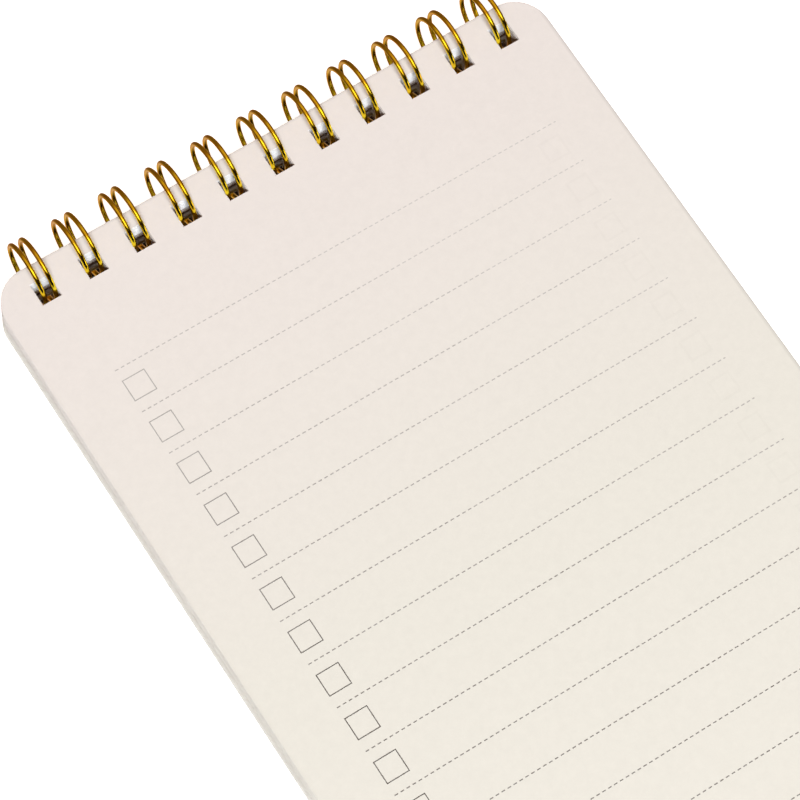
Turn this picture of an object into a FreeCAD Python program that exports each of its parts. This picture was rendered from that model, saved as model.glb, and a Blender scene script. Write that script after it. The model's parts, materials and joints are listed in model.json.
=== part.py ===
"""Wire-bound to-do list pad: sheets, two card covers and a twin-loop wire.

The pad lies face up with its bound edge towards +Y.  The front cover is turned
right round the wire, so it lies undermost, under the back cover.  One wire,
bent into a row of hairpins and closed into rings, holds everything.

Lengths are millimetres.  Every form is made in the ring frame: X runs along
the binding, and the rings' axis is the X axis.  A stack then tilts about that
axis, because the rings stand on the table and lift the bound edge.
"""
import FreeCAD, Part
import math
import os

# Sheets and covers
SHEET_WIDTH = 100.0
SHEET_LENGTH = 210.0
SHEETS_THICKNESS = 4.6        # the whole pad of sheets, one solid
COVER_THICKNESS = 0.45        # card of about 350 g/m2
COVER_OVERHANG = 0.3          # covers stand this far past the sheets on three sides
CORNER_RADIUS = 6.0

# Punched holes: the standard 3:1 row, three holes to the inch
HOLE_COUNT = 11
HOLE_PITCH = 25.4 / 3.0
HOLE_WIDTH = 3.5
HOLE_LENGTH = 4.0
HOLE_MARGIN = 2.9             # from a hole to the bound edge

# Twin-loop wire
WIRE_DIAMETER = 0.8
RING_RADIUS = 5.5             # rings' axis to the middle of the wire
AXIS_DROP = 2.46              # rings' axis below the top sheet
AXIS_SETBACK = 6.31           # rings' axis to the foot-side wall of the holes
LEG_SPACING = 2.3             # the two legs of one hairpin
END_LEG_SPACING = 1.9         # the first and last hairpins are pinched
END_LOOP_SHIFT = 0.3          # and drawn towards the middle of the row
BINDING_SHIFT = -0.12         # the wire's play along the row, taken up to one side
ROOT_BEND_RADIUS = 0.7        # where a leg turns into the link to the next hairpin
TIP_LIFT = 0.13               # tips of the closed hairpins stand off the links
CUT_END_LENGTH = 0.6          # straight stub left where the wire was cut

# The wire is built light: straight runs with an eight-sided section
SECTION_SIDES = 8
LEG_STEP = 15.0               # degrees of ring to one run, counted from its lowest point
TIP_RUNS = 6                  # runs round the half circle of a tip
BEND_RUNS = 3                 # runs round the quarter bend at a root

# Play between the pieces as they lie
SEAM_PLAY = 0.1               # wire to the sheets above it and the cover below it
STACK_PLAY = 0.05             # piece to piece where two stacks lie on each other
COVER_SLIP = 0.5              # the covers hang this much further down than the sheets

# Worked out from the above
SEAM_GAP = WIRE_DIAMETER + 2.0 * SEAM_PLAY
SHEETS_TOP = AXIS_DROP
SHEETS_BOTTOM = SHEETS_TOP - SHEETS_THICKNESS
BACK_COVER_TOP = SHEETS_BOTTOM - SEAM_GAP
FRONT_COVER_TOP = BACK_COVER_TOP - COVER_THICKNESS - STACK_PLAY
FRONT_COVER_BOTTOM = FRONT_COVER_TOP - COVER_THICKNESS
BOUND_EDGE = -AXIS_SETBACK + HOLE_LENGTH + HOLE_MARGIN
SHEET_FOOT = BOUND_EDGE - SHEET_LENGTH
COVER_FOOT = SHEET_FOOT - COVER_OVERHANG - COVER_SLIP
SECTION_CORNER = WIRE_DIAMETER / 2.0 * math.sqrt(      # as much metal as the round wire
    2.0 * math.pi / (SECTION_SIDES * math.sin(2.0 * math.pi / SECTION_SIDES)))
SECTION_FLAT = SECTION_CORNER * math.cos(math.pi / SECTION_SIDES)
RING_REACH = RING_RADIUS + SECTION_FLAT / math.cos(math.radians(LEG_STEP / 2.0))
X_AXIS = FreeCAD.Vector(1, 0, 0)


def cover_tilt():
    """Return the covers' tilt in degrees: rings and front cover's foot on one plane."""
    reach = math.hypot(COVER_FOOT, FRONT_COVER_BOTTOM)
    slope_at_foot = math.atan2(-FRONT_COVER_BOTTOM, -COVER_FOOT)
    return math.degrees(math.asin(RING_REACH / reach) - slope_at_foot)


def sheet_tilt():
    """Return the sheets' tilt in degrees: their foot lies on the back cover."""
    cover = math.radians(cover_tilt())
    foot_height = SHEET_FOOT * math.sin(cover) + BACK_COVER_TOP * math.cos(cover) + STACK_PLAY
    reach = math.hypot(SHEET_FOOT, SHEETS_BOTTOM)
    slope_at_foot = math.atan2(-SHEETS_BOTTOM, -SHEET_FOOT)
    return math.degrees(math.asin(-foot_height / reach) - slope_at_foot)


def hole_centres():
    """Return the x of every hole, left to right, centred on the sheet."""
    first = -HOLE_PITCH * (HOLE_COUNT - 1) / 2.0
    return [first + HOLE_PITCH * index for index in range(HOLE_COUNT)]


def punched_plate(width, foot, bottom, thickness, slip):
    """Return a plate with rounded corners and the row of square holes.

    width: across the plate.  foot: y of the edge away from the binding.
    bottom: z of the underside.  thickness: upwards from there.
    slip: how far the plate's holes have moved towards the foot.
    """
    length = BOUND_EDGE - slip - foot
    corner = FreeCAD.Vector(-width / 2.0, foot, bottom)
    plate = Part.makeBox(width, length, thickness, corner)
    uprights = [edge for edge in plate.Edges if abs(edge.BoundBox.ZLength - thickness) < 1e-6]
    plate = plate.makeFillet(CORNER_RADIUS, uprights)
    holes = []
    for x in hole_centres():
        hole_corner = FreeCAD.Vector(x - HOLE_WIDTH / 2.0, -AXIS_SETBACK - slip, bottom - 1.0)
        holes.append(Part.makeBox(HOLE_WIDTH, HOLE_LENGTH, thickness + 2.0, hole_corner))
    return plate.cut(Part.makeCompound(holes))


def sheets():
    """Return the pad of sheets."""
    return punched_plate(SHEET_WIDTH, SHEET_FOOT, SHEETS_BOTTOM, SHEETS_THICKNESS, 0.0)


def cover(top):
    """Return one card cover whose upper face is at height top."""
    width = SHEET_WIDTH + 2.0 * COVER_OVERHANG
    return punched_plate(width, COVER_FOOT, top - COVER_THICKNESS, COVER_THICKNESS, COVER_SLIP)


def on_ring(x, angle):
    """Return a point of the wire's middle line on the ring at x.

    angle: degrees round the rings' axis from the foot side, downwards first.
    """
    turn = math.radians(angle)
    return FreeCAD.Vector(x, -RING_RADIUS * math.cos(turn), -RING_RADIUS * math.sin(turn))


def along_ring(angle):
    """Return the unit direction in which the ring runs at angle, downwards first."""
    turn = math.radians(angle)
    return FreeCAD.Vector(0, math.sin(turn), -math.cos(turn))


def angle_reaching(height, run):
    """Return the ring angle from which a straight run along the ring ends at height.

    height: z of the end.  run: length, positive in the direction of along_ring.
    """
    reach = math.hypot(RING_RADIUS, run)
    return math.degrees(math.asin(-height / reach) - math.atan2(run, RING_RADIUS))


LINK_HEIGHT = SHEETS_BOTTOM - SEAM_GAP / 2.0
TIP_HEIGHT = LINK_HEIGHT + TIP_LIFT
ROOT_ANGLE = angle_reaching(LINK_HEIGHT, -ROOT_BEND_RADIUS)


def ring_angles(end):
    """Return the angles of a leg's corners from its root to end, in LEG_STEP steps.

    The steps are counted from the ring's lowest point, so every ring stands on a corner.
    """
    first = math.floor(ROOT_ANGLE / LEG_STEP) + 1
    last = math.ceil(end / LEG_STEP) - 1
    return [ROOT_ANGLE] + [LEG_STEP * step for step in range(first, last + 1)] + [end]


def round_points(start, across, onward, degrees, runs):
    """Return the corners of an arc, from start.

    across: from start to the arc's centre.  onward: the same length, the way it sets off.
    """
    turns = [math.radians(degrees) * step / runs for step in range(runs + 1)]
    return [start + across * (1.0 - math.cos(turn)) + onward * math.sin(turn) for turn in turns]


class Hairpin:
    """One finger of the wire: two legs round the ring axis and a round tip.

    middle: x halfway between the legs.  spacing: between the legs' middle lines.
    """

    def __init__(self, middle, spacing):
        """Place the legs and find where they run into the tip."""
        self.left = middle - spacing / 2.0
        self.right = middle + spacing / 2.0
        self.tip_radius = spacing / 2.0
        self.tip_angle = 360.0 + angle_reaching(TIP_HEIGHT, self.tip_radius)

    def leg(self, x):
        """Return the corners of one leg, from the root under and round to the tip."""
        return [on_ring(x, angle) for angle in ring_angles(self.tip_angle)]

    def tip(self):
        """Return the corners of the half circle that joins the legs, left to right."""
        start = on_ring(self.left, self.tip_angle)
        onward = along_ring(self.tip_angle) * self.tip_radius
        return round_points(start, X_AXIS * self.tip_radius, onward, 180.0, TIP_RUNS)

    def points(self):
        """Return the hairpin's corners in order, left root to right root."""
        return self.leg(self.left) + self.tip()[1:-1] + self.leg(self.right)[::-1]


def hairpins():
    """Return the row of hairpins, the first and last pinched and drawn inwards."""
    centres = hole_centres()
    row = [Hairpin(x + BINDING_SHIFT, LEG_SPACING) for x in centres]
    row[0] = Hairpin(centres[0] + END_LOOP_SHIFT, END_LEG_SPACING)
    row[-1] = Hairpin(centres[-1] - END_LOOP_SHIFT, END_LEG_SPACING)
    return row


def root_bend(x, side):
    """Return the corners of the quarter bend at the root of the leg at x.

    side: 1 turns it towards +X and -1 towards -X.
    """
    across = X_AXIS * (side * ROOT_BEND_RADIUS)
    onward = along_ring(ROOT_ANGLE) * -ROOT_BEND_RADIUS
    return round_points(on_ring(x, ROOT_ANGLE), across, onward, 90.0, BEND_RUNS)


def cut_end(x):
    """Return the free end of the stub at the outer root of the first or last hairpin."""
    return on_ring(x, ROOT_ANGLE) + along_ring(ROOT_ANGLE) * -CUT_END_LENGTH


def wire_points():
    """Return the corners of the wire's middle line from one cut end to the other."""
    row = hairpins()
    points = [cut_end(row[0].left)] + row[0].points()
    for before, after in zip(row, row[1:]):
        points += root_bend(before.right, 1.0)[1:]
        points += root_bend(after.left, -1.0)[:0:-1]
        points += after.points()
    return points + [cut_end(row[-1].right)]


def wire_sections(points):
    """Return the wire's section at every corner of its middle line, mitred there."""
    runs = [(after - before).normalize() for before, after in zip(points, points[1:])]
    up = X_AXIS.cross(runs[0])
    section = []
    for side in range(SECTION_SIDES):
        turn = 2.0 * math.pi * (side + 0.5) / SECTION_SIDES
        offset = X_AXIS * math.cos(turn) + up * math.sin(turn)
        section.append(points[0] + offset * SECTION_CORNER)
    sections = [section]
    for run, following, point in zip(runs, runs[1:] + runs[-1:], points[1:]):
        normal = run + following
        section = [corner + run * ((point - corner).dot(normal) / run.dot(normal))
                   for corner in section]
        sections.append(section)
    return sections


def twin_loop_wire():
    """Return the binding: one wire along its whole path, closed at both cut ends."""
    points = wire_points()
    outlines = [Part.makePolygon(section + section[:1]) for section in wire_sections(points)]
    solid = Part.makeLoft(outlines, True, True)
    length = sum((after - before).Length for before, after in zip(points, points[1:]))
    expected = length * math.pi * WIRE_DIAMETER ** 2 / 4.0
    print("wire length %.1f mm, volume %.2f of %.2f mm3" % (length, solid.Volume, expected))
    return solid


def tilted(shape, degrees):
    """Return shape turned about the rings' axis, its foot downwards."""
    turned = shape.copy()
    turned.rotate(FreeCAD.Vector(0, 0, 0), X_AXIS, degrees)
    return turned


def to_table(shapes):
    """Move every shape so that the whole stands on z = 0, centred on the origin."""
    corners = [vertex.Point for shape in shapes.values() for vertex in shape.Vertexes]
    ys = [corner.y for corner in corners]
    offset = FreeCAD.Vector(0, -(min(ys) + max(ys)) / 2.0, -min(corner.z for corner in corners))
    for shape in shapes.values():
        shape.translate(offset)
    print("rings' axis at y %.4f z %.4f" % (offset.y, offset.z))
    return shapes


def build():
    """Return every piece of the pad by name, in place."""
    covers = cover_tilt()
    leaves = sheet_tilt()
    print("tilt: covers %.4f, sheets %.4f degrees" % (covers, leaves))
    return to_table({
        "page_block": tilted(sheets(), leaves),
        "back_cover": tilted(cover(BACK_COVER_TOP), covers),
        "front_cover": tilted(cover(FRONT_COVER_TOP), covers),
        "wire_binding": tilted(twin_loop_wire(), (covers + leaves) / 2.0),
    })


os.makedirs("parts", exist_ok=True)
for name, piece in build().items():
    piece.exportStep("parts/" + name + ".step")
    print(name, "valid", piece.isValid(), "solids", len(piece.Solids), "volume %.2f" % piece.Volume)
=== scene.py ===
"""Dresses the wire-bound to-do list pad: printed sheets, card covers and a gold wire.

Lengths are in millimetres in the ring frame until a piece is finished: X runs
along the binding, Y towards the bound edge, Z out of the top sheet, and the
rings' axis is the X axis.  A finished piece is put in the row frame in metres.
"""

import json
import logging
import math
import random
from dataclasses import dataclass, field
from enum import Enum
from typing import Any

import bmesh
import bpy
from mathutils import Matrix, Vector

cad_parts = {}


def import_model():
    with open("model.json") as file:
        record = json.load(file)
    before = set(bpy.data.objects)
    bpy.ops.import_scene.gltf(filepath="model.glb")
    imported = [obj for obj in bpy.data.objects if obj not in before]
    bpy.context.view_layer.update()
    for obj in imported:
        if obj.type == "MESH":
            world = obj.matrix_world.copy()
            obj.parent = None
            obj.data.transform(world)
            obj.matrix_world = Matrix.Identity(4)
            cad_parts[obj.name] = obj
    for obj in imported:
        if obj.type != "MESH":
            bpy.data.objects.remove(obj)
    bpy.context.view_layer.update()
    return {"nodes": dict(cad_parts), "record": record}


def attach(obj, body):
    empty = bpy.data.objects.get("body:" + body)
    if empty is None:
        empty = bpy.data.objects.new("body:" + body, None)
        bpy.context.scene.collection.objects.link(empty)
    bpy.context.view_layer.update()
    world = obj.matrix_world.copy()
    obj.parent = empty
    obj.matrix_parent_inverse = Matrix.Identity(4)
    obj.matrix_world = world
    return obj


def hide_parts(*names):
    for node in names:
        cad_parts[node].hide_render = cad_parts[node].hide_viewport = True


logging.basicConfig(level=logging.INFO, format="%(name)s: %(message)s")
LOG = logging.getLogger("pad")

MM = 0.001
NOISE_LOW, NOISE_HIGH = 0.3, 0.7      # a noise pattern hardly ever leaves this range
MIX_A, MIX_B, MIX_RESULT = 6, 7, 2    # the sockets of a Mix node that mixes colours
SHEETS_TILT = 0.7514                  # degrees that the sheets lean, foot downwards
WIRE_TILT = 0.6214                    # and the wire, halfway between the sheets and the covers


class Side(Enum):
    """Which face of a sheet a print is on."""

    FRONT = 1.0
    BACK = -1.0


class SheetPart(Enum):
    """The parts of a sheet that look different, by material slot."""

    FACE = 0
    TRIMMED = 1
    BOUND_WALL = 2
    PAINTED_SHADE_WALL = 3


class Body(Enum):
    """The moving bodies that the pieces ride on."""

    BINDING = "binding"
    SHEETS = "sheets"
    FRONT = "front"


# --------------------------------------------------------------------------
# Colour and node helpers
# --------------------------------------------------------------------------
def linear(hex_colour: str) -> tuple[float, float, float, float]:
    """Turn an sRGB hex colour into linear RGBA.

    Args:
        hex_colour: six hex digits, such as "E8E4DC".

    Returns:
        The linear colour with an alpha of 1.
    """
    parts = [int(hex_colour[index:index + 2], 16) / 255.0 for index in (0, 2, 4)]
    red, green, blue = (
        part / 12.92 if part <= 0.04045 else ((part + 0.055) / 1.055) ** 2.4 for part in parts
    )
    return (red, green, blue, 1.0)


def add_node(
    tree: bpy.types.NodeTree,
    kind: str,
    inputs: dict[str | int, Any] | None = None,
    settings: dict[str, Any] | None = None,
    stops: list[tuple[float, str]] | None = None,
) -> bpy.types.Node:
    """Add a node, set its properties and fill or link its inputs.

    Args:
        tree: the node tree that gets it.
        kind: the node's type, such as "ShaderNodeTexNoise".
        inputs: socket name or index to a value, or to an output socket to link.
        settings: attributes of the node to set.
        stops: position and sRGB hex of a colour ramp's stops, in order.

    Returns:
        The new node.
    """
    node = tree.nodes.new(kind)
    for name, value in (settings or {}).items():
        setattr(node, name, value)
    for name, value in (inputs or {}).items():
        if isinstance(value, bpy.types.NodeSocket):
            tree.links.new(value, node.inputs[name])
        else:
            node.inputs[name].default_value = value
    for index, (position, colour) in enumerate(stops or []):
        element = node.color_ramp.elements[index]
        element.position, element.color = position, linear(colour)
    return node


def new_material(name: str) -> tuple[bpy.types.Material, bpy.types.Node, Any]:
    """Make a material with a Principled shader and an Object coordinate source.

    Args:
        name: the real material's name.

    Returns:
        The material, its shader node and the Object coordinate socket.
    """
    material = bpy.data.materials.new(name)
    material.use_nodes = True
    tree = material.node_tree
    shader = next(node for node in tree.nodes if node.type == "BSDF_PRINCIPLED")
    return material, shader, add_node(tree, "ShaderNodeTexCoord").outputs["Object"]


def outside_box(
    tree: bpy.types.NodeTree,
    where: bpy.types.NodeSocket,
    middle: tuple[float, float],
    half: tuple[float, float],
    fade: float,
) -> bpy.types.NodeSocket:
    """Return a value that is 0 inside an upright box and 1 outside it.

    Args:
        tree: the material's nodes.
        where: the place on the object.
        middle: x and y of the box's middle, in millimetres.
        half: half its width and length, in millimetres.
        fade: the width of its soft border, in millimetres.
    """
    place = add_node(tree, "ShaderNodeSeparateXYZ", {"Vector": where})
    sides = []
    for axis, centre, reach in zip("XY", middle, half):
        off = add_node(
            tree, "ShaderNodeMath", {0: place.outputs[axis], 1: centre * MM},
            {"operation": "SUBTRACT"})
        away = add_node(tree, "ShaderNodeMath", {0: off.outputs[0]}, {"operation": "ABSOLUTE"})
        sides.append(add_node(tree, "ShaderNodeMapRange", {
            "Value": away.outputs[0], "From Min": reach * MM, "From Max": (reach + fade) * MM}))
    furthest = add_node(
        tree, "ShaderNodeMath", {0: sides[0].outputs["Result"], 1: sides[1].outputs["Result"]},
        {"operation": "MAXIMUM"})
    return furthest.outputs[0]


# --------------------------------------------------------------------------
# Finishes
# --------------------------------------------------------------------------
@dataclass(frozen=True)
class OffsetPaper:
    """Uncoated wood-free paper: matt, with a fibre tooth and a colour drift down the sheet as
    painted light.

    The colour goes from a pinkish cream at the binding, painted warmer light, to a plain
    cream 75 mm below it.  The tooth is drawn 0.3 mm across, coarser than the real 0.05 mm
    fibres so that it shows, and the mottle of the pulp is 1.5 mm across.  The outermost
    0.5 mm at the head, the foot and the right side is painted a little darker there, as
    shade at the rim.
    """

    name: str = "uncoated_offset_paper"
    painted_warm_at_binding: str = "E0D9D5"
    below: str = "DCD9D0"
    drift: tuple[float, float] = (100.0, 25.0)
    mottle: float = 0.025
    mottle_size: float = 1.5
    rim_middle: tuple[float, float] = (-1.0, -2.27)
    rim_half: tuple[float, float] = (50.45, 104.45)
    rim_width: float = 0.55
    rim_painted_shade: float = 0.82
    roughness: float = 0.92
    sheen: float = 0.25
    tooth_size: float = 0.3
    tooth_height: float = 0.012
    tooth_strength: float = 0.6

    def make(self) -> bpy.types.Material:
        """Return the material."""
        material, shader, where = new_material(self.name)
        tree = material.node_tree
        place = add_node(tree, "ShaderNodeSeparateXYZ", {"Vector": where})
        # The drift from pinkish cream at the binding to plain cream is painted warm light.
        down = add_node(tree, "ShaderNodeMapRange", {
            "Value": place.outputs["Y"],
            "From Min": self.drift[0] * MM, "From Max": self.drift[1] * MM})
        painted_light_tint = add_node(
            tree, "ShaderNodeValToRGB", {"Fac": down.outputs["Result"]},
            stops=[(0.0, self.painted_warm_at_binding), (1.0, self.below)])
        pulp = add_node(tree, "ShaderNodeTexNoise", {
            "Vector": where, "Scale": 1.0 / (self.mottle_size * MM),
            "Detail": 5.0, "Roughness": 0.8})
        shade = add_node(tree, "ShaderNodeMapRange", {
            "Value": pulp.outputs["Fac"], "From Min": NOISE_LOW, "From Max": NOISE_HIGH,
            "To Min": 1.0 - self.mottle, "To Max": 1.0 + self.mottle})
        # The darker rim is painted shade.
        rim = add_node(tree, "ShaderNodeMapRange", {
            "Value": outside_box(tree, where, self.rim_middle, self.rim_half, self.rim_width),
            "To Min": 1.0, "To Max": self.rim_painted_shade})
        both = add_node(
            tree, "ShaderNodeMath", {0: shade.outputs["Result"], 1: rim.outputs["Result"]},
            {"operation": "MULTIPLY"})
        tint = add_node(
            tree, "ShaderNodeVectorMath", {0: painted_light_tint.outputs["Color"], "Scale": both.outputs[0]},
            {"operation": "SCALE"})
        tooth = add_node(tree, "ShaderNodeTexNoise", {
            "Vector": where, "Scale": 1.0 / (self.tooth_size * MM),
            "Detail": 3.0, "Roughness": 0.7})
        bump = add_node(tree, "ShaderNodeBump", {
            "Height": tooth.outputs["Fac"], "Distance": self.tooth_height * MM,
            "Strength": self.tooth_strength})
        tree.links.new(tint.outputs["Vector"], shader.inputs["Base Color"])
        tree.links.new(bump.outputs["Normal"], shader.inputs["Normal"])
        shader.inputs["Roughness"].default_value = self.roughness
        shader.inputs["Specular IOR Level"].default_value = self.sheen
        return material


@dataclass(frozen=True)
class TrimmedEdges:
    """The guillotined side of a pad: sheet ends side by side, each its own shade.

    The bands run along the sheets and are 0.1 mm high, one to a sheet, with wider
    shade changes every 0.7 mm or so, painted shade of bundles of sheets set back.
    A sheet's shade changes every 40 mm along the edge, and a bundle's every 90 mm.
    """

    name: str = "guillotined_paper_edges"
    # These default greys are painted shade of the stack's side, darker than the paper; each sheet's
    # own tone differs at random.
    light: str = "C0BBB7"
    dark: str = "A09B97"
    sheet: float = 0.1
    sheet_band: float = 40.0
    bundle: float = 0.7
    bundle_band: float = 90.0
    spread: tuple[float, float] = (0.36, 0.60)
    roughness: float = 0.95
    sheen: float = 0.2

    def make(self) -> bpy.types.Material:
        """Return the material."""
        material, shader, where = new_material(self.name)
        tree = material.node_tree
        shades = []
        for height, along in ((self.sheet, self.sheet_band), (self.bundle, self.bundle_band)):
            level, upright = 1.0 / (along * MM), 1.0 / (height * MM)
            stretched = add_node(tree, "ShaderNodeMapping", {
                "Vector": where, "Scale": (level, level, upright)})
            shades.append(add_node(tree, "ShaderNodeTexNoise", {
                "Vector": stretched.outputs["Vector"], "Scale": 1.0, "Detail": 1.0}))
        both = add_node(
            tree, "ShaderNodeMath", {0: shades[0].outputs["Fac"], 1: shades[1].outputs["Fac"]},
            {"operation": "ADD"})
        half = add_node(
            tree, "ShaderNodeMath", {0: both.outputs[0], 1: 0.5}, {"operation": "MULTIPLY"})
        bands = add_node(
            tree, "ShaderNodeValToRGB", {"Fac": half.outputs[0]},
            stops=[(self.spread[0], self.dark), (self.spread[1], self.light)])
        tree.links.new(bands.outputs["Color"], shader.inputs["Base Color"])
        shader.inputs["Roughness"].default_value = self.roughness
        shader.inputs["Specular IOR Level"].default_value = self.sheen
        return material


@dataclass(frozen=True)
class OffsetInk:
    """Thin grey offset ink: matt, and darker towards the foot and the left of the sheet.

    The ink's strength grows by "down" for each millimetre towards the foot and by
    "left" for each millimetre to the left, from "start" at the middle of the pad.
    It is uneven over about 12 mm, as of a plate inked by a worn roller.
    """

    name: str
    weak: str
    strong: str
    start: float
    down: float
    left: float
    patch_size: float = 12.0
    patch: float = 0.12
    roughness: float = 0.8
    sheen: float = 0.3

    def make(self) -> bpy.types.Material:
        """Return the material."""
        material, shader, where = new_material(self.name)
        tree = material.node_tree
        slope = add_node(
            tree, "ShaderNodeVectorMath", {0: where, 1: (-self.left / MM, -self.down / MM, 0.0)},
            {"operation": "DOT_PRODUCT"})
        patches = add_node(tree, "ShaderNodeTexNoise", {
            "Vector": where, "Scale": 1.0 / (self.patch_size * MM), "Detail": 2.0})
        uneven = add_node(tree, "ShaderNodeMapRange", {
            "Value": patches.outputs["Fac"], "From Min": NOISE_LOW, "From Max": NOISE_HIGH,
            "To Min": self.start - self.patch, "To Max": self.start + self.patch})
        strength = add_node(
            tree, "ShaderNodeMath", {0: slope.outputs["Value"], 1: uneven.outputs["Result"]},
            {"operation": "ADD", "use_clamp": True})
        tint = add_node(
            tree, "ShaderNodeValToRGB", {"Fac": strength.outputs[0]},
            stops=[(0.0, self.weak), (1.0, self.strong)])
        tree.links.new(tint.outputs["Color"], shader.inputs["Base Color"])
        shader.inputs["Roughness"].default_value = self.roughness
        shader.inputs["Specular IOR Level"].default_value = self.sheen
        return material


@dataclass(frozen=True)
class PulpCard:
    """Uncoated pulp board of about 350 g/m2: matt, cream, with short fibres pressed flat.

    The fibres are about 1.2 mm long and 0.15 mm wide, and lie mostly along Y.  A
    brown stripe, 1.3 mm wide, is painted beyond the holes as shade.
    """

    name: str = "uncoated_pulp_card"
    base: str = "D2CEC8"
    fibre: str = "C6C1B9"
    fibre_length: float = 1.2
    fibre_width: float = 0.15
    painted_shade_brown: str = "5C4334"
    row_middle: tuple[float, float] = (0.0, 100.65)
    row_half: tuple[float, float] = (44.6, 0.65)
    row_fade: float = 0.35
    relief: float = 0.01
    relief_strength: float = 0.7
    roughness: float = 0.9
    sheen: float = 0.25

    def make(self) -> bpy.types.Material:
        """Return the material."""
        material, shader, where = new_material(self.name)
        tree = material.node_tree
        wide, long = 1.0 / (self.fibre_width * MM), 1.0 / (self.fibre_length * MM)
        laid = add_node(tree, "ShaderNodeMapping", {"Vector": where, "Scale": (wide, long, wide)})
        fibres = add_node(tree, "ShaderNodeTexNoise", {
            "Vector": laid.outputs["Vector"], "Scale": 1.0, "Detail": 3.0, "Roughness": 0.65,
            "Distortion": 0.4})
        tint = add_node(
            tree, "ShaderNodeValToRGB", {"Fac": fibres.outputs["Fac"]},
            stops=[(NOISE_LOW, self.fibre), (0.6, self.base)])
        bump = add_node(tree, "ShaderNodeBump", {
            "Height": fibres.outputs["Fac"], "Distance": self.relief * MM,
            "Strength": self.relief_strength})
        # The brown stripe along the row of holes is painted shade; this mask is 1 away from it.
        clean = outside_box(tree, where, self.row_middle, self.row_half, self.row_fade)
        card = add_node(
            tree, "ShaderNodeMix",
            {0: clean, MIX_A: linear(self.painted_shade_brown), MIX_B: tint.outputs["Color"]},
            {"data_type": "RGBA"})
        tree.links.new(card.outputs[MIX_RESULT], shader.inputs["Base Color"])
        tree.links.new(bump.outputs["Normal"], shader.inputs["Normal"])
        shader.inputs["Roughness"].default_value = self.roughness
        shader.inputs["Specular IOR Level"].default_value = self.sheen
        return material


@dataclass(frozen=True)
class GoldPlatedSteel:
    """Drawn steel wire with a bright brass-gold plating: hard highlights, deep darks.

    The drawing marks are 0.05 mm apart.  The plating is a little thinner and
    browner in patches of about 2 mm.
    """

    name: str = "gold_plated_steel_wire"
    gold: str = "FAE02C"
    thin: str = "F4C824"
    roughness: float = 0.13
    patch_size: float = 2.0
    mark_size: float = 0.05
    mark_height: float = 0.0006
    mark_strength: float = 0.3

    def make(self) -> bpy.types.Material:
        """Return the material."""
        material, shader, where = new_material(self.name)
        tree = material.node_tree
        patches = add_node(tree, "ShaderNodeTexNoise", {
            "Vector": where, "Scale": 1.0 / (self.patch_size * MM), "Detail": 2.0})
        tint = add_node(
            tree, "ShaderNodeValToRGB", {"Fac": patches.outputs["Fac"]},
            stops=[(0.35, self.thin), (0.6, self.gold)])
        marks = add_node(tree, "ShaderNodeTexNoise", {
            "Vector": where, "Scale": 1.0 / (self.mark_size * MM), "Detail": 1.0})
        bump = add_node(tree, "ShaderNodeBump", {
            "Height": marks.outputs["Fac"], "Distance": self.mark_height * MM,
            "Strength": self.mark_strength})
        tree.links.new(tint.outputs["Color"], shader.inputs["Base Color"])
        tree.links.new(bump.outputs["Normal"], shader.inputs["Normal"])
        shader.inputs["Metallic"].default_value = 1.0
        shader.inputs["Roughness"].default_value = self.roughness
        return material


@dataclass(frozen=True)
class WhiteAcrylic:
    """The studio's cast white acrylic table top, lit from below except where the pad lies.

    Under the pad, in a box a little smaller than it, the top is painted dark brown as
    shade and gives no light, which keeps that light out of the holes.  Its border is
    0.8 mm wide and soft.  The acrylic's clouds are 330 mm across.
    """

    name: str = "backlit_white_acrylic"
    base: str = "FAFAFA"
    cloud: str = "F7F7F7"
    # Painted shade under the pad.
    under: str = "4A382C"
    glow: float = 0.9
    painted_shade_half: tuple[float, float] = (46.5, 100.0)
    border: float = 0.8
    cloud_size: float = 1000.0 / 3.0
    roughness: float = 0.9
    sheen: float = 0.1

    def make(self) -> bpy.types.Material:
        """Return the material."""
        material, shader, where = new_material(self.name)
        tree = material.node_tree
        clouds = add_node(tree, "ShaderNodeTexNoise", {
            "Vector": where, "Scale": 1.0 / (self.cloud_size * MM), "Detail": 2.0})
        tint = add_node(
            tree, "ShaderNodeValToRGB", {"Fac": clouds.outputs["Fac"]},
            stops=[(NOISE_LOW, self.cloud), (NOISE_HIGH, self.base)])
        # Under the pad the top is painted dark brown as shade and gives no light.
        open_top = outside_box(tree, where, (0.0, 0.0), self.painted_shade_half, self.border)
        top = add_node(
            tree, "ShaderNodeMix",
            {0: open_top, MIX_A: linear(self.under), MIX_B: tint.outputs["Color"]},
            {"data_type": "RGBA"})
        lit = add_node(
            tree, "ShaderNodeMath", {0: open_top, 1: self.glow}, {"operation": "MULTIPLY"})
        tree.links.new(top.outputs[MIX_RESULT], shader.inputs["Base Color"])
        tree.links.new(lit.outputs[0], shader.inputs["Emission Strength"])
        shader.inputs["Emission Color"].default_value = (1.0, 1.0, 1.0, 1.0)
        shader.inputs["Roughness"].default_value = self.roughness
        shader.inputs["Specular IOR Level"].default_value = self.sheen
        return material


# --------------------------------------------------------------------------
# Mesh helpers
# --------------------------------------------------------------------------
@dataclass(frozen=True)
class RingFrame:
    """Takes meshes from the ring frame in millimetres to the row frame in metres.

    axis: a point of the rings' axis in the row frame.
    tilt: degrees that the stack leans, foot downwards.
    """

    axis: Vector
    tilt: float

    def matrix(self) -> Matrix:
        """Return the transform."""
        turn = Matrix.Rotation(math.radians(self.tilt), 4, "X")
        return Matrix.Translation(self.axis) @ turn @ Matrix.Scale(MM, 4)


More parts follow.
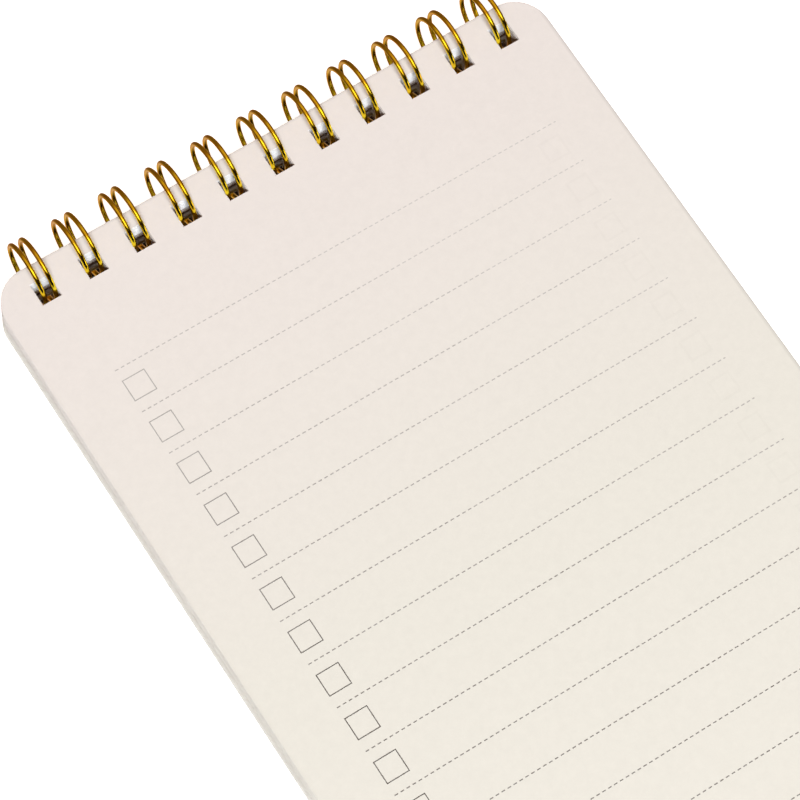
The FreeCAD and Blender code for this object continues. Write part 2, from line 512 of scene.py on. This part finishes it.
def finish_piece(
    mesh: bmesh.types.BMesh,
    name: str,
    place: RingFrame,
    body: Body,
    materials: list[bpy.types.Material],
    smooth: bool = False,
) -> bpy.types.Object:
    """Turn a closed mesh into a piece that sits at the origin and rides on a body.

    Args:
        mesh: the mesh in the ring frame, in millimetres; it is freed.
        name: the piece's name.
        place: where its stack lies.
        body: the body that carries it.
        materials: its materials, in slot order.
        smooth: shade its four-sided faces smooth, and leave flat ends flat.

    Returns:
        The piece's object.
    """
    bmesh.ops.transform(mesh, matrix=place.matrix(), verts=mesh.verts)
    bmesh.ops.recalc_face_normals(mesh, faces=mesh.faces)
    for face in mesh.faces:
        face.smooth = smooth and len(face.verts) == 4
    data = bpy.data.meshes.new(name)
    mesh.to_mesh(data)
    mesh.free()
    for material in materials:
        data.materials.append(material)
    piece = bpy.data.objects.new(name, data)
    bpy.context.scene.collection.objects.link(piece)
    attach(piece, body.value)
    triangles = sum(len(polygon.vertices) - 2 for polygon in data.polygons)
    LOG.info("%s rides on %s, %d triangles", name, body.value, triangles)
    return piece


def add_bar(mesh: bmesh.types.BMesh, low: Vector, high: Vector) -> None:
    """Add a closed box between two corners, for a printed line.

    Args:
        mesh: the mesh that gets it.
        low: its lowest corner.
        high: its highest corner.
    """
    size = high - low
    matrix = Matrix.Translation((low + high) / 2.0) @ Matrix.Diagonal((*size, 1.0))
    bmesh.ops.create_cube(mesh, size=1.0, matrix=matrix)


# --------------------------------------------------------------------------
# Sheets
# --------------------------------------------------------------------------
@dataclass
class PunchedSheet:
    """One sheet with rounded corners and the row of square holes."""

    width: float = 100.0
    length: float = 210.0
    corner: float = 6.0
    corner_steps: int = 10
    hole_count: int = 11
    hole_pitch: float = 25.4 / 3.0
    hole_width: float = 3.5
    hole_foot: float = -6.31
    hole_head: float = -2.31
    bound_edge: float = 0.59
    hole_margin: float = 0.01
    row_margin: float = 0.1
    corner_margin: float = 1.0

    def hole_centres(self) -> list[float]:
        """Return the x of every hole."""
        first = -self.hole_pitch * (self.hole_count - 1) / 2.0
        return [first + self.hole_pitch * index for index in range(self.hole_count)]

    def in_hole(self, face: bmesh.types.BMFace) -> bool:
        """Say whether a face of the cut-up sheet is the floor of a hole."""
        point = face.calc_center_median()
        inside = self.hole_foot < point.y < self.hole_head
        reach = self.hole_width / 2.0 - self.hole_margin
        return inside and any(abs(point.x - centre) < reach for centre in self.hole_centres())

    def punch(self, sheet: bmesh.types.BMesh) -> None:
        """Cut the row of holes out of a flat sheet."""
        for y in (self.hole_foot, self.hole_head):
            geometry = sheet.verts[:] + sheet.edges[:] + sheet.faces[:]
            bmesh.ops.bisect_plane(sheet, geom=geometry, plane_co=(0, y, 0), plane_no=(0, 1, 0))
        for x in self.hole_centres():
            for wall in (x - self.hole_width / 2.0, x + self.hole_width / 2.0):
                band = [
                    face for face in sheet.faces
                    if self.hole_foot < face.calc_center_median().y < self.hole_head]
                geometry = list({part for face in band for part in (*face.verts, *face.edges)})
                bmesh.ops.bisect_plane(
                    sheet, geom=geometry + band, plane_co=(wall, 0, 0), plane_no=(1, 0, 0))
        floors = [face for face in sheet.faces if self.in_hole(face)]
        bmesh.ops.delete(sheet, geom=floors, context="FACES")

    def flat(self) -> bmesh.types.BMesh:
        """Return one flat punched sheet at z = 0."""
        sheet = bmesh.new()
        middle = Vector((0.0, self.bound_edge - self.length / 2.0, 0.0))
        place = Matrix.Translation(middle) @ Matrix.Diagonal((self.width, self.length, 1.0, 1.0))
        bmesh.ops.create_grid(sheet, x_segments=1, y_segments=1, size=0.5, matrix=place)
        bmesh.ops.bevel(
            sheet, geom=sheet.verts[:], offset=self.corner, offset_type="OFFSET",
            affect="VERTICES", segments=self.corner_steps, profile=0.5, material=-1)
        self.punch(sheet)
        return sheet

    def part_of(self, face: bmesh.types.BMFace) -> SheetPart:
        """Say which part of the sheet a face is."""
        point = face.calc_center_median()
        if abs(face.normal.z) > 0.5:
            return SheetPart.FACE
        in_row = self.hole_foot - self.row_margin < point.y < self.hole_head + self.row_margin
        row_end = self.width / 2.0 - self.corner + self.corner_margin
        if not in_row or abs(point.x) > row_end:
            return SheetPart.TRIMMED
        # Bound walls get the paper edge painted near white as lit; foot and side walls get it
        # painted dark brown as shade.
        return SheetPart.BOUND_WALL if face.normal.y < -0.5 else SheetPart.PAINTED_SHADE_WALL

    def solid(self, thickness: float) -> bpy.types.Mesh:
        """Return one closed sheet with its underside at z = 0.

        Args:
            thickness: of the sheet.

        Returns:
            A mesh whose material slots are in the order of SheetPart.
        """
        sheet = self.flat()
        raised = bmesh.ops.extrude_face_region(sheet, geom=sheet.faces[:])
        verts = [item for item in raised["geom"] if isinstance(item, bmesh.types.BMVert)]
        bmesh.ops.translate(sheet, verts=verts, vec=(0.0, 0.0, thickness))
        bmesh.ops.recalc_face_normals(sheet, faces=sheet.faces)
        for face in sheet.faces:
            face.material_index = self.part_of(face).value
        data = bpy.data.meshes.new("one_sheet")
        sheet.to_mesh(data)
        sheet.free()
        return data


@dataclass
class SheetPad:
    """The pad of sheets: a clean top sheet over a stack that has slipped a little.

    The stack leans and turns a little towards its foot (slip, fan), each sheet by
    chance as well (scatter).  The last few peek out at the right under the top
    sheet, the first few are tucked in at the left, and the holes' walls of the
    lowest ones are painted dark brown as shade.
    """

    place: RingFrame
    sheet: PunchedSheet = field(default_factory=PunchedSheet)
    top: float = 2.46
    bottom: float = -2.14
    count: int = 46
    slip: float = 0.05
    fan: float = 0.05
    scatter: float = 0.04
    painted_shade_walls: int = 12
    peek: float = 0.2
    peeking: int = 4
    tuck: float = 0.24
    tucked: int = 6
    seed: int = 7

    def build(self, materials: list[bpy.types.Material]) -> None:
        """Build the top sheet and the stack under it.

        Args:
            materials: for the sheets' parts, in the order of SheetPart.
        """
        dice = random.Random(self.seed)
        thickness = (self.top - self.bottom) / self.count
        one = self.sheet.solid(thickness)
        stack = bmesh.new()
        for index in range(self.count - 1):
            depth = 1.0 - index / (self.count - 1.0)
            across = dice.uniform(-self.scatter, self.scatter)
            across += self.peek if index >= self.count - 1 - self.peeking else 0.0
            across += self.tuck if index < self.tucked else 0.0
            down = -self.slip * depth + dice.uniform(-self.scatter, self.scatter)
            turn = Matrix.Rotation(math.radians(-self.fan * depth), 4, "Z")
            first, known = len(stack.verts), len(stack.faces)
            stack.from_mesh(one)
            stack.faces.ensure_lookup_table()
            for face in stack.faces[known:]:
                # The bound walls of the lowest sheets are painted dark brown as shade too.
                if index < self.painted_shade_walls and face.material_index == SheetPart.BOUND_WALL.value:
                    face.material_index = SheetPart.PAINTED_SHADE_WALL.value
            stack.verts.ensure_lookup_table()
            shift = Matrix.Translation((across, down, self.bottom + index * thickness)) @ turn
            bmesh.ops.transform(stack, matrix=shift, verts=stack.verts[first:])
        top = bmesh.new()
        top.from_mesh(one)
        bmesh.ops.translate(top, verts=top.verts, vec=(0.0, 0.0, self.top - thickness))
        bpy.data.meshes.remove(one)
        lower = finish_piece(stack, "sheet_stack", self.place, Body.SHEETS, materials)
        upper = finish_piece(top, "top_sheet", self.place, Body.SHEETS, materials)
        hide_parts("page_block")


@dataclass
class ListPrint:
    """The list printed on a sheet: dashed rules, with a tick box under each but the last."""

    place: RingFrame
    left: float = -40.19
    right: float = 41.03
    first_rule: float = -21.38
    pitch: float = 7.887
    rules: int = 23
    dash: float = 0.6
    gap: float = 0.45
    rule_width: float = 0.17
    box_width: float = 4.0
    box_height: float = 3.94
    box_drop: float = 1.94
    box_line: float = 0.16
    ghost_line: float = 0.4
    ink: float = 0.008
    lift: float = 0.002

    def line(
        self, mesh: bmesh.types.BMesh, face: float, side: Side, low: tuple[float, float],
        high: tuple[float, float],
    ) -> None:
        """Add one printed bar.

        Args:
            mesh: the mesh that gets it.
            face: z of the sheet's face.
            side: which face of the sheet it is on.
            low: its lowest x and y.
            high: its highest x and y.
        """
        near = face + side.value * self.lift
        far = near + side.value * self.ink
        add_bar(mesh, Vector((*low, min(near, far))), Vector((*high, max(near, far))))

    def rule_set(self, face: float, side: Side) -> bmesh.types.BMesh:
        """Return the dashed rules as a mesh: one rule, copied down the sheet."""
        rule = bmesh.new()
        half = self.rule_width / 2.0
        step = self.dash + self.gap
        for index in range(math.ceil((self.right - self.left) / step)):
            x = self.left + index * step
            self.line(rule, face, side, (x, -half), (min(x + self.dash, self.right), half))
        return self.repeat(rule, self.rules, self.first_rule)

    def repeat(self, one: bmesh.types.BMesh, count: int, first: float) -> bmesh.types.BMesh:
        """Copy a print down the sheet, a rule's pitch apart.

        Args:
            one: the print at y = 0; it is freed.
            count: how many copies there are.
            first: y of the first copy.

        Returns:
            All the copies in one mesh.
        """
        data = bpy.data.meshes.new("one_print")
        one.to_mesh(data)
        one.free()
        mesh = bmesh.new()
        for index in range(count):
            known = len(mesh.verts)
            mesh.from_mesh(data)
            mesh.verts.ensure_lookup_table()
            down = (0.0, first - index * self.pitch, 0.0)
            bmesh.ops.translate(mesh, verts=mesh.verts[known:], vec=down)
        bpy.data.meshes.remove(data)
        return mesh

    def box_set(self, face: float, side: Side, left: float, line: float) -> bmesh.types.BMesh:
        """Return the tick boxes as a mesh.

        Args:
            face: z of the sheet's face.
            side: which face of the sheet they are on.
            left: x of their left edges.
            line: width of their lines.

        Returns:
            The boxes, one under each rule but the last.
        """
        box = bmesh.new()
        right, low = left + self.box_width, -self.box_height
        self.line(box, face, side, (left, -line), (right, 0.0))
        self.line(box, face, side, (left, low), (right, low + line))
        self.line(box, face, side, (left, low + line), (left + line, -line))
        self.line(box, face, side, (right - line, low + line), (right, -line))
        return self.repeat(box, self.rules - 1, self.first_rule - self.box_drop)

    def build(
        self, rule_ink: bpy.types.Material, box_ink: bpy.types.Material,
        ghost_ink: bpy.types.Material, top: float, bottom: float,
    ) -> None:
        """Build the print on the top sheet and on the back of the last one.

        Args:
            rule_ink: for the dashed rules.
            box_ink: for the boxes.
            ghost_ink: for the boxes that show through from the other side.
            top: z of the top sheet's face.
            bottom: z of the last sheet's underside.
        """
        mirrored = -self.left - self.box_width
        sets = (
            ("rules_front", self.rule_set(top, Side.FRONT), rule_ink),
            ("boxes_front", self.box_set(top, Side.FRONT, self.left, self.box_line), box_ink),
            ("boxes_showing_through",
             self.box_set(top, Side.FRONT, mirrored, self.ghost_line), ghost_ink),
            ("rules_back", self.rule_set(bottom, Side.BACK), rule_ink),
            ("boxes_back", self.box_set(bottom, Side.BACK, mirrored, self.box_line), box_ink),
        )
        for name, mesh, ink in sets:
            finish_piece(mesh, name, self.place, Body.SHEETS, [ink])


# --------------------------------------------------------------------------
# Wire
# --------------------------------------------------------------------------
class WireFormer:
    """Bends a round wire the way a forming machine does: straight runs and bends."""

    def __init__(self, start: Vector, heading: Vector, diameter: float, sides: int) -> None:
        """Cut the wire's first end.

        Args:
            start: the middle of the cut end.
            heading: the way the wire sets off.
            diameter: of the wire.
            sides: faces round it.
        """
        self.mesh = bmesh.new()
        self.at = start.copy()
        self.heading = heading.normalized()
        turn = Vector((0.0, 0.0, 1.0)).rotation_difference(self.heading).to_matrix().to_4x4()
        bmesh.ops.create_circle(
            self.mesh, cap_ends=True, segments=sides, radius=diameter / 2.0,
            matrix=Matrix.Translation(start) @ turn)
        self.front = self.mesh.edges[:]

    def run(self, length: float) -> None:
        """Feed the wire straight on by length."""
        grown = bmesh.ops.extrude_edge_only(self.mesh, edges=self.front)["geom"]
        verts = {item for item in grown if isinstance(item, bmesh.types.BMVert)}
        self.front = [
            item for item in grown
            if isinstance(item, bmesh.types.BMEdge) and verts.issuperset(item.verts)]
        step = self.heading * length
        bmesh.ops.translate(self.mesh, verts=list(verts), vec=step)
        self.at += step

    def bend(self, side: Vector, radius: float, degrees: float, steps: int) -> None:
        """Bend the wire on.

        Args:
            side: square to the heading, from the wire towards the bend's centre.
            radius: of the bend, to the wire's middle.
            degrees: how far it turns.
            steps: how many faces along the bend.
        """
        centre = self.at + side * radius
        axis = self.heading.cross(side).normalized()
        turned = bmesh.ops.spin(
            self.mesh, geom=self.front, cent=centre, axis=axis, angle=math.radians(degrees),
            steps=steps, use_merge=False, use_duplicate=False)
        self.front = [
            item for item in turned["geom_last"] if isinstance(item, bmesh.types.BMEdge)]
        turn = Matrix.Rotation(math.radians(degrees), 3, axis)
        self.at = centre + turn @ (self.at - centre)
        self.heading = (turn @ self.heading).normalized()

    def cut(self) -> bmesh.types.BMesh:
        """Cut the wire off and return its closed mesh."""
        bmesh.ops.contextual_create(self.mesh, geom=self.front)
        return self.mesh


@dataclass
class TwinLoopWire:
    """The binding: one wire bent into a row of hairpins and closed into rings."""

    place: RingFrame
    holes: PunchedSheet = field(default_factory=PunchedSheet)
    diameter: float = 0.78
    ring_radius: float = 5.5
    spacing: float = 2.3
    end_spacing: float = 1.9
    end_shift: float = 0.3
    shift: float = -0.12
    bend_radius: float = 0.7
    cut_end: float = 0.6
    link_height: float = -2.64
    tip_lift: float = 0.13
    sides: int = 18
    leg_steps: int = 72
    tip_steps: int = 16
    bend_steps: int = 8

    def angle_reaching(self, height: float, run: float) -> float:
        """Return the ring angle from which a straight run along the ring ends at height.

        Args:
            height: z of the end.
            run: its length, positive in the ring's direction.

        Returns:
            Degrees round the axis from the foot side, downwards first.
        """
        reach = math.hypot(self.ring_radius, run)
        return math.degrees(math.asin(-height / reach) - math.atan2(run, self.ring_radius))

    def on_ring(self, x: float, angle: float) -> Vector:
        """Return a point of the ring at x."""
        turn = math.radians(angle)
        return Vector((x, -self.ring_radius * math.cos(turn), -self.ring_radius * math.sin(turn)))

    def along_ring(self, angle: float) -> Vector:
        """Return the direction in which the ring runs at angle."""
        turn = math.radians(angle)
        return Vector((0.0, math.sin(turn), -math.cos(turn)))

    def hairpins(self) -> list[tuple[float, float]]:
        """Return the x of the left and right leg of every hairpin."""
        centres = self.holes.hole_centres()
        row = [(x + self.shift, self.spacing) for x in centres]
        row[0] = (centres[0] + self.end_shift, self.end_spacing)
        row[-1] = (centres[-1] - self.end_shift, self.end_spacing)
        return [(x - spacing / 2.0, x + spacing / 2.0) for x, spacing in row]

    def build(self, gold: bpy.types.Material) -> None:
        """Build the whole wire as one piece, which stands for the CAD wire.

        Args:
            gold: its material.
        """
        across = Vector((1.0, 0.0, 0.0))
        root = self.angle_reaching(self.link_height, -self.bend_radius)
        inward = -self.on_ring(0.0, root).normalized()
        forward = self.along_ring(root)
        row = self.hairpins()
        start = self.on_ring(row[0][0], root) - forward * self.cut_end
        former = WireFormer(start, forward, self.diameter, self.sides)
        former.run(self.cut_end)
        for index, (left, right) in enumerate(row):
            radius = (right - left) / 2.0
            tip = 360.0 + self.angle_reaching(self.link_height + self.tip_lift, radius)
            former.bend(inward, self.ring_radius, tip - root, self.leg_steps)
            former.bend(across, radius, 180.0, self.tip_steps)
            inward_at_tip = -self.on_ring(0.0, tip).normalized()
            former.bend(inward_at_tip, self.ring_radius, tip - root, self.leg_steps)
            if index + 1 < len(row):
                former.bend(across, self.bend_radius, 90.0, self.bend_steps)
                former.run(row[index + 1][0] - right - 2.0 * self.bend_radius)
                former.bend(forward, self.bend_radius, 90.0, self.bend_steps)
        former.run(self.cut_end)
        wire = finish_piece(
            former.cut(), "twin_loop_wire", self.place, Body.BINDING, [gold], smooth=True)
        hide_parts("wire_binding")


# --------------------------------------------------------------------------
# Covers, table, lights and camera
# --------------------------------------------------------------------------
@dataclass
class Covers:
    """The two card covers, whose CAD solids stay as they are."""

    names: tuple[str, ...] = ("back_cover", "front_cover")

    def dress(self, nodes: dict[str, bpy.types.Object], card: bpy.types.Material) -> None:
        """Give both covers their card.

        Args:
            nodes: the CAD nodes by name.
            card: their material.
        """
        for name in self.names:
            nodes[name].data.materials.clear()
            nodes[name].data.materials.append(card)
            LOG.info("%s stays and is dressed in %s", name, card.name)


class LampJob(Enum):
    """What a soft box does: light the matt surfaces, or only be mirrored in the wire."""

    LIGHTING = "lighting"
    MIRRORED = "mirrored"


@dataclass(frozen=True)
class SoftBox:
    """One rectangular soft box.

    name: its name.
    towards: the direction in which it hangs from the rings.
    distance: from the rings, in metres.
    width: its level side, in metres.
    height: its other side, in metres.
    radiance: how bright its face is, where 1 shows as white.
    colour: of its light, as sRGB hex.
    job: what it does.
    """

    name: str
    towards: tuple[float, float, float]
    distance: float
    width: float
    height: float
    radiance: float
    colour: str
    job: LampJob


@dataclass
class Studio:
    """A plain white table, soft lights and the camera.

    The room is a gradient by direction: nearly black towards the foot, lightest
    overhead, brown behind the binding, and dark at the row's two ends.
    """

    table_size: float = 8.0
    rings: tuple[float, float, float] = (0.0, 0.1, 0.0)
    lens: float = 165.3
    sensor: float = 36.0
    clip: tuple[float, float] = (0.01, 20.0)
    eye: tuple[float, float, float] = (-0.14162, -0.11116, 0.52719)
    right: tuple[float, float, float] = (0.83866, -0.54261, 0.04713)
    up: tuple[float, float, float] = (0.48792, 0.78694, 0.37771)
    back: tuple[float, float, float] = (-0.24204, -0.29378, 0.92472)
    walls: tuple[tuple[float, str], ...] = (
        (0.0, "120C0A"), (0.2, "1A120E"), (0.5, "DAB6A0"), (0.72, "D0AC96"), (0.87, "80604E"),
        (1.0, "664A3A"))
    ends: str = "3A241A"
    ends_fade: tuple[float, float] = (0.5, 0.9)
    lamps: tuple[SoftBox, ...] = (
        SoftBox("key", (-0.20, -0.69, 0.69), 2.4, 0.9, 0.9, 32.0, "F2FBFF", LampJob.LIGHTING),
        SoftBox(
            "bright_card", (-0.13, -0.36, 0.93), 1.3, 1.3, 0.72, 1.85, "FFF5E0", LampJob.MIRRORED),
        SoftBox("low_card", (0.72, -0.69, 0.08), 1.5, 0.40, 0.40, 2.7, "FFFDF4", LampJob.MIRRORED),
    )

    def table(self, finish: bpy.types.Material) -> None:
        """Lay the table top under the pad."""
        mesh = bmesh.new()
        bmesh.ops.create_grid(mesh, x_segments=1, y_segments=1, size=self.table_size / 2.0)
        data = bpy.data.meshes.new("table_top")
        mesh.to_mesh(data)
        mesh.free()
        data.materials.append(finish)
        table = bpy.data.objects.new("table_top", data)
        bpy.context.scene.collection.objects.link(table)
        table.visible_glossy = False

    def lamp(self, lamp: SoftBox) -> None:
        """Hang one soft box that faces the rings.

        Args:
            lamp: where it hangs, how large and bright it is, and what it lights.
        """
        light = bpy.data.lights.new(lamp.name, "AREA")
        light.shape, light.size, light.size_y = "RECTANGLE", lamp.width, lamp.height
        light.energy = lamp.radiance * math.pi * lamp.width * lamp.height
        light.color = linear(lamp.colour)[:3]
        away = Vector(lamp.towards).normalized()
        box = bpy.data.objects.new(lamp.name, light)
        box.location = Vector(self.rings) + away * lamp.distance
        box.rotation_mode = "QUATERNION"
        box.rotation_quaternion = away.to_track_quat("Z", "Y")
        box.visible_diffuse = lamp.job is not LampJob.MIRRORED
        box.visible_glossy = lamp.job is not LampJob.LIGHTING
        bpy.context.scene.collection.objects.link(box)

    def light(self) -> None:
        """Set the room's light and the lamps."""
        world = bpy.data.worlds.new("studio_room")
        world.use_nodes = True
        tree = world.node_tree
        room = next(node for node in tree.nodes if node.type == "BACKGROUND")
        way = add_node(tree, "ShaderNodeSeparateXYZ", {
            "Vector": add_node(tree, "ShaderNodeTexCoord").outputs["Generated"]})
        back = add_node(tree, "ShaderNodeMapRange", {
            "Value": way.outputs["Y"], "From Min": -1.0, "From Max": 1.0})
        walls = add_node(tree, "ShaderNodeValToRGB", {"Fac": back.outputs["Result"]})
        while len(walls.color_ramp.elements) < len(self.walls):
            walls.color_ramp.elements.new(1.0)
        for element, (position, colour) in zip(walls.color_ramp.elements, self.walls):
            element.position, element.color = position, linear(colour)
        off_middle = add_node(
            tree, "ShaderNodeMath", {0: way.outputs["X"]}, {"operation": "ABSOLUTE"})
        end = add_node(tree, "ShaderNodeMapRange", {
            "Value": off_middle.outputs[0],
            "From Min": self.ends_fade[0], "From Max": self.ends_fade[1]})
        colour = add_node(
            tree, "ShaderNodeMix",
            {0: end.outputs["Result"], MIX_A: walls.outputs["Color"], MIX_B: linear(self.ends)},
            {"data_type": "RGBA"})
        tree.links.new(colour.outputs[MIX_RESULT], room.inputs["Color"])
        bpy.context.scene.world = world
        for lamp in self.lamps:
            self.lamp(lamp)

    def camera(self) -> None:
        """Set up the camera."""
        data = bpy.data.cameras.new("camera")
        data.lens, data.sensor_width = self.lens, self.sensor
        data.clip_start, data.clip_end = self.clip
        camera = bpy.data.objects.new("camera", data)
        turn = Matrix((self.right, self.up, self.back)).transposed().to_4x4()
        camera.matrix_world = Matrix.Translation(self.eye) @ turn
        bpy.context.scene.collection.objects.link(camera)
        bpy.context.scene.camera = camera
        bpy.context.scene.view_settings.view_transform = "Standard"


def main() -> None:
    """Build and dress the whole pad."""
    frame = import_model()
    axis = Vector(frame["record"]["behaviour"]["joints"][0]["pos_m"])
    sheets_place = RingFrame(axis, SHEETS_TILT)
    wire_place = RingFrame(axis, WIRE_TILT)

    studio = Studio()
    studio.camera()
    studio.light()
    studio.table(WhiteAcrylic().make())

    pad = SheetPad(sheets_place)
    edges = TrimmedEdges().make()
    # The holes' bound walls are painted near white, as if lit by the key.
    lit_hole_walls = TrimmedEdges("paper_edges_painted_lit_in_holes", light="FAF9FC", dark="F0EEF2").make()
    # The foot and side walls of the holes, and the bound walls of the lowest sheets, are painted
    # dark brown as shade.
    painted_shade_walls = TrimmedEdges("paper_edges_painted_shade_in_holes", light="A08A7C", dark="7C6355").make()
    pad.build([OffsetPaper().make(), edges, lit_hole_walls, painted_shade_walls])
    rule_ink = OffsetInk("grey_offset_ink", "C6C2BE", "7E7A76", 0.90, 0.0106, 0.0058).make()
    box_ink = OffsetInk("dark_grey_offset_ink", "AFACA8", "615D59", 1.35, 0.0172, 0.0).make()
    ghost_ink = OffsetPaper("ink_showing_through_paper", painted_warm_at_binding="DED7D3", below="DAD7CE").make()
    ListPrint(sheets_place).build(rule_ink, box_ink, ghost_ink, pad.top, pad.bottom)
    TwinLoopWire(wire_place).build(GoldPlatedSteel().make())
    Covers().dress(frame["nodes"], PulpCard().make())


if __name__ == "__main__":
    main()
